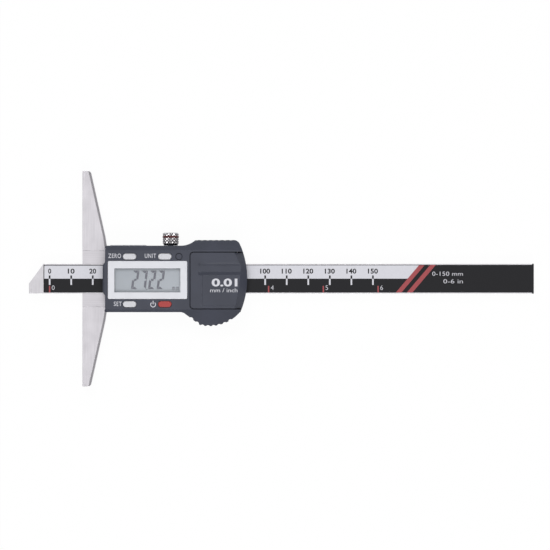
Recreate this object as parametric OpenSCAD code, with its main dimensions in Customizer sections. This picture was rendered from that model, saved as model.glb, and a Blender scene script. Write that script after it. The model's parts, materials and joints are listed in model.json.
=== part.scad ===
// Digital depth caliper, lying on its back.
// Origin: on the measuring face's plane, on the blade's centre line, at the surface it lies on.
// +X runs along the blade away from its tip, +Y along the base, +Z out of the display.

/* [Setting] */
// Depth that the blade is set to
depth = 24.8; // [4:0.2:100]
// Longest depth that it measures
range_len = 150; // [120:1:200]

/* [Blade] */
// Width of the blade
blade_w = 13.7; // [12.4:0.1:14]
// Thickness of the blade
blade_t = 3.2; // [2.8:0.1:3.4]
// Width of the flat end that is left below the tip's bevel
tip_flat = 4.6; // [2:0.2:8]
// Length of the tip's bevel along the blade
tip_bevel = 6.7; // [4:0.1:6.7]
// Bare steel between the tip and the scale
tip_bare = 6.75; // [6.7:0.05:9]
// Steel left standing on each side of the scale's groove
groove_edge = 0.4; // [0.3:0.05:0.8]
// Thickness of the scale strip
strip_t = 0.5; // [0.3:0.05:0.7]
// Thickness of the printed film
film_t = 0.1; // [0.08:0.01:0.15]
// Thickness of the ink on the film
ink_t = 0.05; // [0.03:0.01:0.06]
// Blade left beyond the case at full depth
blade_spare = 7.8; // [4:0.1:14]
// Thickness of the stop plate
stop_t = 0.8; // [0.6:0.1:1.5]
// How far the stop plate stands out past the blade's edges
stop_lip = 0.1; // [0.05:0.05:0.8]

/* [Print] */
// Pitch of the millimetre scale's marks
mark_pitch = 10; // [5:5:10]
// Width of a mark
mark_w = 0.76; // [0.4:0.02:1.2]
// Height of the dark part of a mark, above the middle of the blade
mark_up = 1.5; // [1:0.1:2]
// Height of the light part of a mark, below the middle of the blade
mark_down = 2.9; // [2:0.1:3]
// Height of an inch mark, from the film's lower edge up
inch_mark_h = 3.1; // [2:0.1:3.2]
// Width of an inch mark
inch_mark_w = 0.64; // [0.4:0.02:1.2]
// Length along the blade that each slanted stripe covers
stripe_slant = 10.9; // [6:0.1:14]
// Width of a slanted stripe along the blade
stripe_w = 2.6; // [1.5:0.1:3]
// Distance between the slanted stripes
stripe_pitch = 5.1; // [4:0.1:6]
// Distance of the slanted stripes from the scale's last mark
stripe_gap = 10.6; // [8:0.1:14]

/* [Base] */
// Length of the measuring base
base_len = 100; // [75:1:150]
// Thickness of the base
base_t = 7.0; // [6.9:0.05:7.2]
// Width of the base at its middle
base_w = 11.3; // [10:0.1:14]
// Length of the straight middle part of the base's back edge
base_mid = 39.2; // [36:0.1:50]
// Width of each arm at its end
arm_end_w = 3.8; // [3:0.1:8]
// Width of an arm at its root
arm_root_w = 10.6; // [8:0.1:14]
// Radius of the arms' rear corner
arm_r = 1.6; // [0.5:0.1:2.5]
// Width of the chamfer on the upper edge of the arms' backs
arm_chamfer = 1.0; // [0.2:0.1:1.4]
// Slant of that chamfer in degrees
arm_chamfer_a = 32; // [25:1:45]
// Thickness of the bridge under the slider frame
bridge_t = 2.6; // [2:0.1:2.8]

/* [Slider frame] */
// Width of the slider frame
frame_w = 26; // [24:0.2:26.4]
// Thickness of the frame's floor under the blade, at the base
frame_floor = 1.2; // [0.8:0.1:1.4]
// Clearance all round the blade
slide_gap = 0.05; // [0.03:0.01:0.08]
// Thickness of the gib strip
gib_t = 1.0; // [0.8:0.1:1.4]
// Radius of the base screws' threads
base_screw_r = 1.25; // [1:0.05:1.5]
// Length of the base screws that reaches into the slider frame
base_screw_in = 3.4; // [2.4:0.1:3.8]
// Distance of the base screws from the slider frame's edges
base_screw_y = 3.2; // [2.6:0.1:3.8]
// Radius of the gib's grub screws
gib_screw_r = 1.0; // [0.8:0.05:1.2]
// Distance of each gib screw from the lock screw
gib_screw_off = 7.9; // [6.5:0.1:10]

/* [Lock screw] */
// Distance of the lock screw from the foot of the upper grip
lock_x = 4.85; // [4.2:0.05:9]
// Radius of its thread
lock_r = 1.25; // [1:0.05:1.3]
// Radius of its knob
knob_r = 3.85; // [3:0.05:4.2]
// Height of its knob
knob_h = 5.4; // [4:0.1:8]
// Neck between the case and the knob
knob_neck = 0.6; // [0.3:0.1:1.5]
// Width of the red ring in the knob
ring_w = 0.8; // [0.5:0.1:1.2]
// Depth of the red ring in the knob
ring_t = 0.4; // [0.3:0.05:0.8]
// Chamfer at the ends of its knob
knob_bevel = 0.6; // [0.2:0.1:0.8]
// Radius of its neck
neck_r = 3.3; // [1.6:0.1:3.4]
// Length of the lock shoe
shoe_h = 1.9; // [1.2:0.1:2.4]

/* [Case] */
// How far the case reaches over the base
case_overlap = 0.6; // [0.3:0.1:1.2]
// Length of the case
case_len = 65.75; // [64.5:0.25:67]
// Room between the slider frame and the case's upper wall
frame_room_up = 1.0; // [0.8:0.1:1.6]
// Room between the slider frame and the case's lower wall
frame_room_down = 1.2; // [1:0.1:1.8]
// Thickness of the caliper from its back to the display
case_t = 15.0; // [14.9:0.1:16]
// Wall of the case
wall = 1.3; // [1.1:0.05:1.4]
// Thickness of the rear cover
rear_t = 1.2; // [1:0.1:1.4]
// Radius of the case's bowed end
end_r = 40; // [38:1:50]
// Radius of the case's upper left corner
corner_r = 1.2; // [0.5:0.1:2]
// Distance of the upper shoulder's start from the case's upper edge
shoulder_up = 2.1; // [1.5:0.1:2.6]
// Distance of the lower shoulder's start from the case's lower edge
shoulder_down = 1.3; // [0.8:0.1:1.3]
// How steeply the upper shoulder falls, in degrees
shoulder_up_a = 28; // [10:1:32]
// How steeply the lower shoulder falls, in degrees
shoulder_down_a = 32; // [10:1:34]
// How far the nose reaches out over the blade
nose_out = 1.1; // [0.6:0.1:1.5]
// Half the width of the nose at its end
nose_half = 6.25; // [5:0.05:6.6]
// Chamfer on the nose's front edge
nose_bevel = 0.7; // [0.3:0.1:1]

/* [Grips] */
// Distance of the upper grip's foot from the case's bowed end
grip_x = 30.65; // [28:0.05:32]
// Height of the upper grip above the case's upper edge
grip_up = 2.6; // [1.6:0.1:3]
// Radius of the hollow that leads up to the upper grip
grip_lead_r = 10; // [8:0.5:12]
// Radius of the thumb grip below
thumb_r = 18.6; // [17.8:0.1:19]
// Distance of the thumb grip's centre from the case's bowed end
thumb_x = 17.45; // [16.5:0.05:18.5]
// Distance of the thumb grip's centre above the case's lower edge
thumb_y = 12.1; // [11.5:0.1:12.5]
// Length of the straight ramp down to the thumb grip
ramp_l = 6.7; // [5:0.1:8]
// Fall of that ramp for each millimetre
ramp_slope = 0.765; // [0.6:0.005:0.9]
// Pitch of the grips' grooves
groove_pitch = 2.63; // [2.3:0.01:3]
// Depth of the grips' grooves
groove_d = 0.45; // [0.2:0.05:0.6]
// Radius of the grips' grooves
groove_r = 1.1; // [0.8:0.05:1.25]

/* [Display] */
// Front left between the case's end and the bezel
bezel_x = 1.3; // [1.2:0.05:1.6]
// Front left between the bezel and the battery bay
bezel_gap = 1.05; // [1:0.05:1.6]
// Front left above the bezel
bezel_up = 7.1; // [6.8:0.1:7.6]
// Front left below the bezel
bezel_down = 6.1; // [5.8:0.1:6.6]
// Thickness of the bezel
bezel_t = 1.1; // [0.8:0.05:1.2]
// Gap round the bezel
bezel_room = 0.05; // [0.03:0.01:0.2]
// Corner radius of the bezel
bezel_r = 0.6; // [0.3:0.1:1]
// Bezel left of the window
window_x = 3.04; // [2.8:0.02:3.4]
// Bezel right of the window
window_right = 3.25; // [2.8:0.05:3.6]
// Bezel above the window
window_top = 3.43; // [3.2:0.01:3.6]
// Bezel below the window
window_low = 3.1; // [2.8:0.05:3.4]
// How far the lens reaches under the bezel, all round
lens_lap = 1.5; // [0.8:0.1:1.6]
// Thickness of the lens
lens_t = 1.0; // [0.6:0.1:1.1]
// Thickness of the liquid crystal panel
panel_t = 1.9; // [1.6:0.1:2.1]
// Window left above the figures
digit_top = 1.02; // [0.6:0.02:1.6]
// Window left below the figures
digit_low = 1.45; // [1:0.05:2]
// Width of a figure
digit_w = 2.9; // [2.4:0.1:3.5]
// Pitch of the figures
digit_pitch = 3.95; // [3.8:0.05:4.4]
// Slant of the figures in degrees
digit_slant = 7; // [0:1:12]
// Width of a figure's strokes
stroke = 1.06; // [0.4:0.02:1.1]

/* [Buttons] */
// Length of a button
button_l = 6.1; // [5:0.1:6.4]
// Height of a button
button_h = 2.75; // [2.2:0.05:3]
// Distance of the left buttons from the bezel's left end
button_x1 = 10.05; // [8:0.05:12]
// Distance of the right buttons from the bezel's right end
button_x2 = 10.4; // [9:0.05:12]
// Distance of the upper buttons above the bezel
button_up = 2.05; // [1.9:0.05:2.2]
// Distance of the lower buttons below the bezel
button_down = 2.4; // [2.2:0.05:2.5]
// How far a button stands proud of the case
button_proud = 0.35; // [0.1:0.05:0.6]
// Clearance round a button
button_gap = 0.2; // [0.1:0.05:0.3]
// Travel of a button
button_travel = 0.4; // [0.2:0.05:0.5]
// Radius of the blanking plug
plug_r = 1.37; // [1:0.05:1.5]
// Distance of the blanking plug from the bezel's right end
plug_x = 3.85; // [3.5:0.05:4.2]

/* [Battery] */
// Radius of the coin cell
cell_r = 10; // [9.5:0.1:10.05]
// Thickness of the coin cell
cell_t = 3.2; // [2.5:0.1:3.3]
// Distance of the cell's centre from the case's bowed end
cell_x = 15.55; // [15.3:0.05:15.6]
// How far the cell's centre lies below the blade's centre line
cell_drop = 0.9; // [0.6:0.1:1.2]
// Length of the battery bay, from the case's bowed end
lid_x = 26.65; // [26.4:0.05:26.7]
// Case left above the battery cover
lid_up = 3.2; // [2.7:0.05:3.2]
// Case left below the battery cover
lid_down = 1.7; // [1.4:0.05:1.7]
// Angle of the battery cover's sloped end
slope = 50; // [40:1:55]
// Corner radius of the battery cover
lid_r = 1.5; // [0.8:0.1:2]
// Gap round the battery cover
lid_gap = 0.42; // [0.1:0.02:0.46]
// Height of the rails at the battery cover's sides
rail_h = 0.65; // [0.4:0.05:0.7]
// Width of the rails at the battery cover's sides
rail_w = 0.9; // [0.5:0.1:0.9]

/* [Electronics] */
// Thickness of the battery contacts' metal
contact_t = 0.2; // [0.15:0.05:0.25]
// Thickness of the circuit board
board_t = 1.0; // [0.8:0.1:1]
// Gap between the blade and the circuit board
reader_gap = 0.15; // [0.1:0.01:0.2]
// How far the circuit board's edges lie in from the slider frame's
board_in = 0.4; // [0.3:0.1:0.8]
// Distance of the port from the case's end
port_x = 2.3; // [2:0.1:2.6]
// Length of the port cover
port_l = 16.7; // [15:0.1:17.4]
// Height of the port cover across the case's side
port_h = 4.4; // [3.6:0.1:4.6]
// How far the port cover stands proud of the case
port_proud = 0.3; // [0.2:0.05:0.8]

/* [Hidden] */
$fn = 48;
eps = 0.01;
// How far a cut reaches past what it cuts
over = 1;
big = 200;

// Clearances
fit = 0.05;
film_fit = 0.02;
base_fit = 0.05;
gib_fit = 0.02;
thread_gap = 0.03;
shoe_gap = 0.03;
screw_gap = 0.1;
hole_spare = 0.2;
room = 0.1;

// Levels above the surface that the caliper lies on
slot_z = bridge_t + frame_floor;
blade_z = slot_z + slide_gap;
blade_top = blade_z + blade_t;
axis_z = blade_z + blade_t / 2;
film_z = blade_top - ink_t - film_t;
strip_z = film_z - strip_t;
frame_top = blade_top + reader_gap;
board_z = frame_top;
board_top = board_z + board_t;
front_in = case_t - wall;

// Along the blade
tip_x = -depth;
case_x = base_w - case_overlap;
case_end = case_x + case_len;
end_cx = case_end - end_r;
head_l = base_w + room;
blade_end = case_end + range_len - depth + blade_spare;
steel_end = blade_end - stop_t;
groove_x = tip_x + tip_bare;
frame_in = 4.4;
frame_end = case_end - frame_in;
arm_run = (base_len - base_mid) / 2;
arm_slope = (arm_root_w - arm_end_w) / arm_run;
arm_a = atan(arm_slope);
mid_y = frame_w / 2 + 2;
root_a = atan((base_w - arm_root_w) / (base_mid / 2 - mid_y));
over_base = max(base_t, frame_top) + fit;
low_case_x = head_l + fit;
stop_screw_r = 0.8;
stop_head_r = 1.2;
stop_screw_l = 4;
stop_screw_y = 3.6;
stop_screw_drop = 0.3;
stop_screw_z = axis_z - stop_screw_drop;

// Print
film_half = blade_w / 2 - groove_edge - film_fit;
nose_x = case_x - nose_out;
zero_x = tip_x + nose_x;
inch = 25.4;
mark_count = floor(range_len / mark_pitch);
inch_spare = 0.1;
inch_count = floor(range_len / inch + inch_spare);
stripe_x = zero_x + range_len + stripe_gap;

// Case
case_up = frame_w / 2 + frame_room_up + wall;
case_down = frame_w / 2 + frame_room_down + wall;
in_x = case_x + wall;
in_up = case_up - wall;
in_down = case_down - wall;
nose_flare = 1.5;
screw_in = [4.8, 6.45, 2.6, 1.8];
case_screws = [
    [case_x + screw_in[0], frame_w / 2 - screw_in[2]],
    [case_x + screw_in[0], screw_in[3] - frame_w / 2],
    [case_end - screw_in[1], frame_w / 2 - screw_in[2]],
    [case_end - screw_in[1], screw_in[3] - frame_w / 2]
];
case_screw_r = 0.95;
csk_r = 1.75;
csk_h = 0.9;
boss_r = 1.95;

// Grips
grip_y = case_up + grip_up;
lead_x = case_end - grip_x;
lead_end = lead_x + sqrt(grip_lead_r * grip_lead_r - (grip_lead_r - grip_up) * (grip_lead_r - grip_up));
grip_corner = 3;
corner_in = 0.03;
grip_cy = grip_y - grip_corner;
grip_cx = end_cx + sqrt(pow(end_r - grip_corner - corner_in, 2) - grip_cy * grip_cy);
grip_a = atan2(grip_cy, grip_cx - end_cx);
thumb_cx = case_end - thumb_x;
thumb_cy = thumb_y - case_down;
thumb_reach = 13;
thumb_left = thumb_cx - thumb_reach;
ramp_in = 1.3;
ramp_drop = 0.45;
ramp_x = thumb_left + ramp_in;
ramp_y = -case_down - ramp_drop;
ramp_end = ramp_x + ramp_l;
ramp_spare = 3;
ramp_past = ramp_end + ramp_spare;
top_grooves = 7;
top_groove_d = 0.55;
thumb_grooves = 8;
top_groove_in = 0.5;
thumb_groove_in = 3.1;
top_groove_x = lead_end + top_groove_in;
thumb_groove_x = ramp_x + thumb_groove_in;

// Slider frame and what screws into it
half_blade = blade_w / 2 + slide_gap;
gib_y = half_blade;
slot_up = gib_y + gib_t + gib_fit;
gib_side_gap = 0.3;
gib_screw_end = frame_w / 2 - board_in;
gib_socket = 1.0;
lock_px = lead_x - lock_x;
shoe_y = slot_up + shoe_gap;
shoe_end = shoe_y + shoe_h;
shoe_play = 0.02;
knob_y = case_up + knob_neck;
ring_share = 0.586;
ring_y = knob_y + ring_share * knob_h;
neck_gap = 0.1;
ring_in = 0.05;
base_screw_x = base_w / 2;

// Battery bay
bay_x = case_end - lid_x;
bay_wall = 0.8;
cell_px = case_end - cell_x;
cell_y = -cell_drop;
screw_sunk = 3.9;
screw_top = case_t - screw_sunk;
blade_room = 0.3;
driver_room = 0.4;
cell_foot = 0.25;
cell_rim = 1.2;
deck_sunk = 2.1;
deck_top = case_t - deck_sunk;
deck_t = 1;
deck_z = deck_top - deck_t;
cell_top = deck_top - room;
cell_z = cell_top - cell_t;
cell_room = 0.2;
well_r = cell_r + cell_room;
well_wall = 0.7;
well_z = cell_z - contact_t - fit;
well_floor_t = 0.6;
well_floor = well_z - well_floor_t;
deck_in = 6.05;
deck_end = case_end - deck_in;
lid_px = bay_x + lid_gap;
lid_top = case_up - lid_up;
lid_bottom = lid_down - case_down;
lid_z = deck_top + fit;
lid_lift = 0.15;
lid_low = over_base + lid_lift;
rail_back = 1;
apex_in = 2.65;
apex_y = 5.2;
slope_up_a = 24.4;
slope_down_a = -8.5;
band_half = [0.8, 0.95];
band_d = [0.38, 0.6];
band_y = [6.7, 2.4];
band_x = 4.5;
panel_d = 0.15;
panel_x = 5.6;
panel_top = 1.75;
leaf_w = 4;
leaf_x = cell_px - leaf_w / 2;
leaf_foot = 1.2;
leaf_gap = 0.04;
leaf_short = 0.4;
strip_half = 1;
strip_l = 8;
strip_end = cell_px - strip_l / 2;
contact_room = 0.15;

// Display
bez_x = case_x + bezel_x;
bez_end = bay_x - bezel_gap;
bezel_l = bez_end - bez_x;
bez_y = bezel_down - case_down;
bez_top = case_up - bezel_up;
bezel_h = bez_top - bez_y;
bezel_z = case_t - bezel_t;
ledge_t = 1;
win_x = bez_x + window_x;
win_y = bez_y + window_low;
window_l = bezel_l - window_x - window_right;
window_h = bezel_h - window_low - window_top;
lens_z = bezel_z - lens_t;
lens_x = win_x - lens_lap;
lens_y = win_y - lens_lap;
lens_l = window_l + 2 * lens_lap;
lens_h = window_h + 2 * lens_lap;
panel_z = lens_z - panel_t;
panel_ink = 0.04;
digit_h = window_h - digit_top - digit_low;
digit_count = 4;
digits_l = (digit_count - 1) * digit_pitch + digit_w;
digit_shift = -0.245;
digit_x = win_x + (window_l - digits_l) / 2 + digit_shift;
digit_gap = 0.08;
point_gap = 0.25;
point_w = 0.5;
point_drop = 0.3;
point_x = digit_pitch + digit_w + point_gap;
zebra_w = 2;
zebra_in = 0.3;
zebra_x = 2;
chip_w = 5;
chip_t = 1.2;

// Buttons
button_z = front_in - fit;
flange_t = 0.7;
flange_w = 0.5;
key_l = 5;
key_w = 2.6;
key_t = 3.0;
key_plunger = 0.45;
key_r = 0.9;
key_in = 0.5;
key_slack = 0.1;
rows = [bez_top + button_up, bez_y - button_down];
columns = [bez_x + button_x1, bez_end - button_x2];
plug_px = bez_end - plug_x;
plug_gap = 0.28;
plug_sunk = 0.05;
plug_flange = 0.5;
plug_flange_t = 0.6;

// Board
board_half = frame_w / 2 - board_in;
board_gap = 0.6;
board_back = 0.5;
board_x = in_x + board_gap;
board_end = frame_end - board_back;

// Port
port_px = case_x + port_x;
port_z = 8.1;
port_sunk = 1;
port_in = case_up - port_sunk;
port_lip = 0.5;
socket_in = 4.7;
socket_x = port_px + socket_in;
socket_l = 9;
socket_t = 3;
socket_lap = 0.8;
socket_y = board_half - socket_lap;
pin_count = 5;
pin_pitch = 1.6;
pin_r = 0.4;
pin_x = 1.3;

// Cuts an outer corner of the first quadrant to a quarter round
module corner_cut(r) {
    difference() {
        translate([-over, -over]) square(r + over);
        translate([r, r]) circle(r);
    }
}

// A rectangle with round corners, from its lower left corner
module round_rect(l, h, r) {
    difference() {
        square([l, h]);
        corner_cut(r);
        translate([l, 0]) mirror([1, 0]) corner_cut(r);
        translate([0, h]) mirror([0, 1]) corner_cut(r);
        translate([l, h]) mirror([1, 0]) mirror([0, 1]) corner_cut(r);
    }
}

// A bar with half-round ends, about its centre
module stadium(l, h) {
    square([l - h, h], center = true);
    for (s = [-1, 1]) translate([s * (l - h) / 2, 0]) circle(h / 2);
}

module block(a, b) {
    translate(a) cube(b - a);
}

// Puts a cylinder or a profile along +Y
module along_y(x, y, z) {
    translate([x, y, z]) rotate([-90, 0, 0]) children();
}

module prism(z0, z1) {
    translate([0, 0, z0]) linear_extrude(z1 - z0) children();
}

// Countersunk screw, head down, from z = 0
module countersunk_screw(r, h) {
    cylinder(r1 = csk_r, r2 = r, h = csk_h);
    cylinder(r = r, h = h);
}

module countersunk_hole(r, h) {
    translate([0, 0, -eps]) cylinder(r1 = csk_r + eps, r2 = r, h = csk_h + 2 * eps);
    translate([0, 0, -over]) cylinder(r = r, h = h + over);
}

// Blade with its scale

module blade_outline() {
    polygon([
        [tip_x, -blade_w / 2],
        [steel_end, -blade_w / 2],
        [steel_end, blade_w / 2],
        [tip_x + tip_bevel, blade_w / 2],
        [tip_x, tip_flat - blade_w / 2]
    ]);
}

module stop_screw_places() {
    for (s = [-1, 1])
        translate([blade_end, s * stop_screw_y, stop_screw_z]) rotate([0, -90, 0]) children();
}

module blade() {
    color([0.83, 0.83, 0.85]) difference() {
        prism(blade_z, blade_top) blade_outline();
        block([groove_x, -film_half - film_fit, strip_z],
              [blade_end + over, film_half + film_fit, blade_top + over]);
        stop_screw_places() cylinder(r = stop_screw_r + eps, h = stop_screw_l + over);
    }
}

module stop_plate() {
    color([0.2, 0.2, 0.22]) difference() {
        block([steel_end, -blade_w / 2 - stop_lip, blade_z],
              [blade_end, blade_w / 2 + stop_lip, strip_z]);
        stop_screw_places() translate([0, 0, -eps])
            cylinder(r1 = stop_head_r + eps, r2 = stop_screw_r, h = stop_t + 2 * eps);
    }
}

module stop_screws() {
    color([0.3, 0.3, 0.32]) stop_screw_places() {
        cylinder(r1 = stop_head_r, r2 = stop_screw_r, h = stop_t);
        cylinder(r = stop_screw_r, h = stop_screw_l);
    }
}

module scale_strip() {
    color([0.62, 0.47, 0.2])
        block([groove_x + film_fit, -film_half, strip_z], [blade_end, film_half, film_z]);
}

module scale_film() {
    color([0.84, 0.84, 0.87])
        block([groove_x + film_fit, -film_half, film_z], [blade_end, film_half, film_z + film_t]);
}

module on_film() {
    prism(film_z + film_t, blade_top) children();
}

function mark_x(i) = zero_x + i * mark_pitch;
function inch_x(i) = zero_x + i * inch;
function stripe_left(i, y) =
    stripe_x + i * stripe_pitch + stripe_slant * (y + film_half) / (2 * film_half);

module stripe(i) {
    polygon([
        [stripe_left(i, -film_half), -film_half],
        [stripe_left(i, -film_half) + stripe_w, -film_half],
        [stripe_left(i, film_half) + stripe_w, film_half],
        [stripe_left(i, film_half), film_half]
    ]);
}

// The dark lower half, the dark end behind the stripes, and the dark half of each mark
module black_print() {
    color([0.18, 0.18, 0.2]) on_film() {
        difference() {
            polygon([
                [groove_x + film_fit, -film_half],
                [blade_end, -film_half],
                [blade_end, film_half],
                [stripe_left(0, film_half), film_half],
                [stripe_left(0, 0), 0],
                [groove_x + film_fit, 0]
            ]);
            for (i = [0 : mark_count])
                translate([mark_x(i) - mark_w / 2, -mark_down]) square([mark_w, mark_down + eps]);
            for (i = [0 : inch_count])
                translate([inch_x(i) - inch_mark_w / 2, -film_half - over])
                    square([inch_mark_w, inch_mark_h + over]);
            for (i = [0, 1]) stripe(i);
        }
        for (i = [0 : mark_count])
            translate([mark_x(i) - mark_w / 2, eps]) square([mark_w, mark_up]);
    }
}

module red_print() {
    color([0.7, 0.33, 0.34]) on_film() {
        for (i = [0 : inch_count])
            translate([inch_x(i) - inch_mark_w / 2 + eps, -film_half])
                square([inch_mark_w - 2 * eps, inch_mark_h - eps]);
        for (i = [0, 1]) intersection() {
            translate([eps, 0]) stripe(i);
            translate([-eps, 0]) stripe(i);
        }
    }
}

// Base and slider frame

module base_outline() {
    end_y = base_len / 2;
    round_x = arm_end_w + arm_r * arm_slope - arm_r / cos(arm_a);
    for (s = [0, 1]) mirror([0, s]) {
        polygon([
            [0, 0],
            [base_w, 0],
            [base_w, mid_y],
            [arm_root_w, base_mid / 2],
            [round_x + arm_r * cos(arm_a), end_y - arm_r + arm_r * sin(arm_a)],
            [round_x, end_y],
            [0, end_y]
        ]);
        translate([round_x, end_y - arm_r]) circle(arm_r);
    }
}

// A long wedge that takes the upper edge off the sloping back of an arm
module back_cut(x, y, a) {
    translate([x, y, base_t - arm_chamfer * tan(arm_chamfer_a)]) rotate([0, 0, a])
        rotate([0, arm_chamfer_a - 90, 0]) translate([0, -over, -over])
            cube([base_t, base_len, base_t]);
}

module base_screw_places() {
    for (s = [-1, 1]) translate([base_screw_x, s * (frame_w / 2 - base_screw_y), 0]) children();
}

module base_bridge() {
    color([0.82, 0.82, 0.84]) difference() {
        prism(0, base_t) base_outline();
        block([-over, -frame_w / 2 - base_fit, bridge_t], [big, frame_w / 2 + base_fit, big]);
        for (s = [0, 1]) mirror([0, s, 0]) {
            back_cut(base_w, mid_y, root_a);
            back_cut(arm_root_w, base_mid / 2, arm_a);
        }
        base_screw_places() countersunk_hole(base_screw_r + screw_gap, big);
    }
}

module lock_bore(r, y0, y1) {
    along_y(lock_px, y0, axis_z) cylinder(r = r, h = y1 - y0);
}

module gib_screw_places() {
    for (s = [-1, 1]) along_y(lock_px + s * gib_screw_off, slot_up - gib_fit, axis_z) children();
}

module slider_frame() {
    color([0.78, 0.78, 0.8]) difference() {
        union() {
            block([0, -frame_w / 2, bridge_t], [head_l, frame_w / 2, base_t]);
            block([head_l, -frame_w / 2, rear_t], [frame_end, frame_w / 2, frame_top]);
        }
        block([-over, -half_blade, slot_z], [big, half_blade, big]);
        block([head_l, 0, slot_z], [big, slot_up, big]);
        lock_bore(lock_r + fit, slot_up - over, big);
        gib_screw_places() cylinder(r = gib_screw_r + thread_gap, h = big);
        base_screw_places()
            cylinder(r = base_screw_r + thread_gap, h = bridge_t + base_screw_in + hole_spare);
        for (p = case_screws) translate(p)
            cylinder(r = case_screw_r + hole_spare, h = big);
    }
}

module base_screws() {
    color([0.5, 0.5, 0.52]) base_screw_places()
        countersunk_screw(base_screw_r, bridge_t + base_screw_in);
}

module gib_strip() {
    color([0.8, 0.62, 0.3])
        block([head_l + room, gib_y, slot_z + fit],
              [frame_end - gib_side_gap, gib_y + gib_t, frame_top - fit]);
}

module gib_screws() {
    color([0.35, 0.35, 0.37]) gib_screw_places() difference() {
        cylinder(r = gib_screw_r, h = gib_screw_end - slot_up);
        translate([0, 0, gib_screw_end - slot_up - gib_socket])
            cylinder(r = gib_screw_r / 2, h = gib_socket + over, $fn = 6);
    }
}

// Lock screw

module lock_shoe() {
    color([0.8, 0.62, 0.3]) lock_bore(lock_r, shoe_y, shoe_end);
}

module lock_screw() {
    color([0.75, 0.75, 0.77]) difference() {
        union() {
            lock_bore(lock_r, shoe_end + shoe_play, knob_y + eps);
            lock_bore(neck_r, case_up + neck_gap, knob_y + eps);
            along_y(lock_px, knob_y, axis_z) {
                cylinder(r1 = knob_r - knob_bevel, r2 = knob_r, h = knob_bevel);
                translate([0, 0, knob_bevel]) cylinder(r = knob_r, h = knob_h - 2 * knob_bevel);
                translate([0, 0, knob_h - knob_bevel])
                    cylinder(r1 = knob_r, r2 = knob_r - knob_bevel, h = knob_bevel);
            }
        }
        difference() {
            lock_bore(knob_r + over, ring_y, ring_y + ring_w);
            lock_bore(knob_r - ring_t, ring_y - over, ring_y + ring_w + over);
        }
    }
}

module lock_screw_ring() {
    color([0.5, 0.13, 0.13]) difference() {
        lock_bore(knob_r - ring_in, ring_y, ring_y + ring_w);
        lock_bore(knob_r - ring_t, ring_y - over, ring_y + ring_w + over);
    }
}

// Case

// Upper grip: a hollow lead up to it, its flat top, and the round into the bowed end
module upper_grip() {
    difference() {
        union() {
            translate([lead_x, 0]) square([grip_cx - lead_x, grip_y]);
            translate([grip_cx, grip_cy]) circle(grip_corner);
            polygon([
                [grip_cx, grip_cy],
                [grip_cx + grip_corner * cos(grip_a), grip_cy + grip_corner * sin(grip_a)],
                [case_end, 0],
                [grip_cx, 0]
            ]);
        }
        translate([lead_x, case_up + grip_lead_r]) circle(grip_lead_r);
    }
}

function ramp(x) = ramp_y - (x - ramp_x) * ramp_slope;
function thumb_edge(x) =
    x < ramp_end ? ramp(x) : thumb_cy - sqrt(thumb_r * thumb_r - pow(x - thumb_cx, 2));

module thumb_grip() {
    low = thumb_cy - thumb_r - over;
    difference() {
        intersection() {
            translate([thumb_cx, thumb_cy]) circle(thumb_r);
            polygon([
                [thumb_left, 0],
                [thumb_left, -case_down],
                [ramp_x, ramp_y],
                [ramp_past, ramp(ramp_past)],
                [ramp_past, low],
                [case_end, low],
                [case_end, 0]
            ]);
        }
        for (i = [0 : thumb_grooves - 1]) {
            x = thumb_groove_x + i * groove_pitch;
            translate([x, thumb_edge(x) - groove_r + groove_d]) circle(groove_r);
        }
    }
}

module case_outline() {
    intersection() {
        translate([end_cx, 0]) circle(end_r);
        union() {
            difference() {
                translate([case_x, -case_down]) square([case_len, case_up + case_down]);
                translate([case_x, case_up]) mirror([0, 1]) corner_cut(corner_r);
                translate([case_x, -case_down]) corner_cut(corner_r / 2);
            }
            upper_grip();
            thumb_grip();
        }
    }
}

// The hollow inside the case, a wall in from the outline
module hollow_outline() {
    deep = grip_y - groove_d - wall;
    intersection() {
        translate([end_cx, 0]) circle(end_r - wall);
        union() {
            translate([in_x, -in_down]) square([case_len, in_up + in_down]);
            translate([lead_end + wall, 0]) square([grip_cx - lead_end - wall - corner_r, deep]);
            intersection() {
                translate([thumb_cx, thumb_cy]) circle(thumb_r - groove_d - wall);
                translate([ramp_end - wall, -big]) square([case_end - ramp_end, big]);
            }
        }
    }
}

// Everything beyond the sloped end, moved inward by t
module beyond_slope(t) {
    for (a = [slope_up_a, slope_down_a])
        translate([case_end - apex_in, apex_y, case_t]) rotate([0, 0, a]) rotate([0, slope, 0])
            translate([-big / 2, -big / 2, -t]) cube(big);
}

// Everything above the two shoulders, moved inward by t
module above_shoulders(t) {
    translate([0, case_up - shoulder_up, case_t]) rotate([-shoulder_up_a, 0, 0])
        translate([-big / 2, -big / 2, -t]) cube(big);
    translate([0, shoulder_down - case_down, case_t]) rotate([shoulder_down_a, 0, 0])
        translate([-big / 2, -big / 2, -t]) cube(big);
}

module nose_outline() {
    flare = nose_half + nose_flare;
    in = wall / 2;
    polygon([
        [case_x + in, -flare - in],
        [case_x, -flare],
        [nose_x, -nose_half],
        [nose_x, nose_half],
        [case_x, flare],
        [case_x + in, flare + in]
    ]);
}

// The upper grip's grooves run out towards the back of the caliper
module upper_grooves() {
    for (i = [0 : top_grooves - 1])
        translate([top_groove_x + i * groove_pitch, grip_y + groove_r - top_groove_d, rear_t])
            cylinder(r1 = groove_r - top_groove_d - fit, r2 = groove_r, h = case_t - rear_t);
}

module case_shell() {
    difference() {
        union() {
            prism(rear_t, case_t) case_outline();
            prism(over_base + fit, case_t) nose_outline();
        }
        block([0, -big, -over], [low_case_x, big, over_base]);
        block([0, -frame_w / 2 - room, -over], [in_x + room, frame_w / 2 + room, over_base]);
        above_shoulders(0);
        upper_grooves();
        translate([nose_x, 0, case_t - nose_bevel]) rotate([0, -45, 0])
            translate([-big / 2, -big / 2, 0]) cube(big);
    }
}

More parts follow.
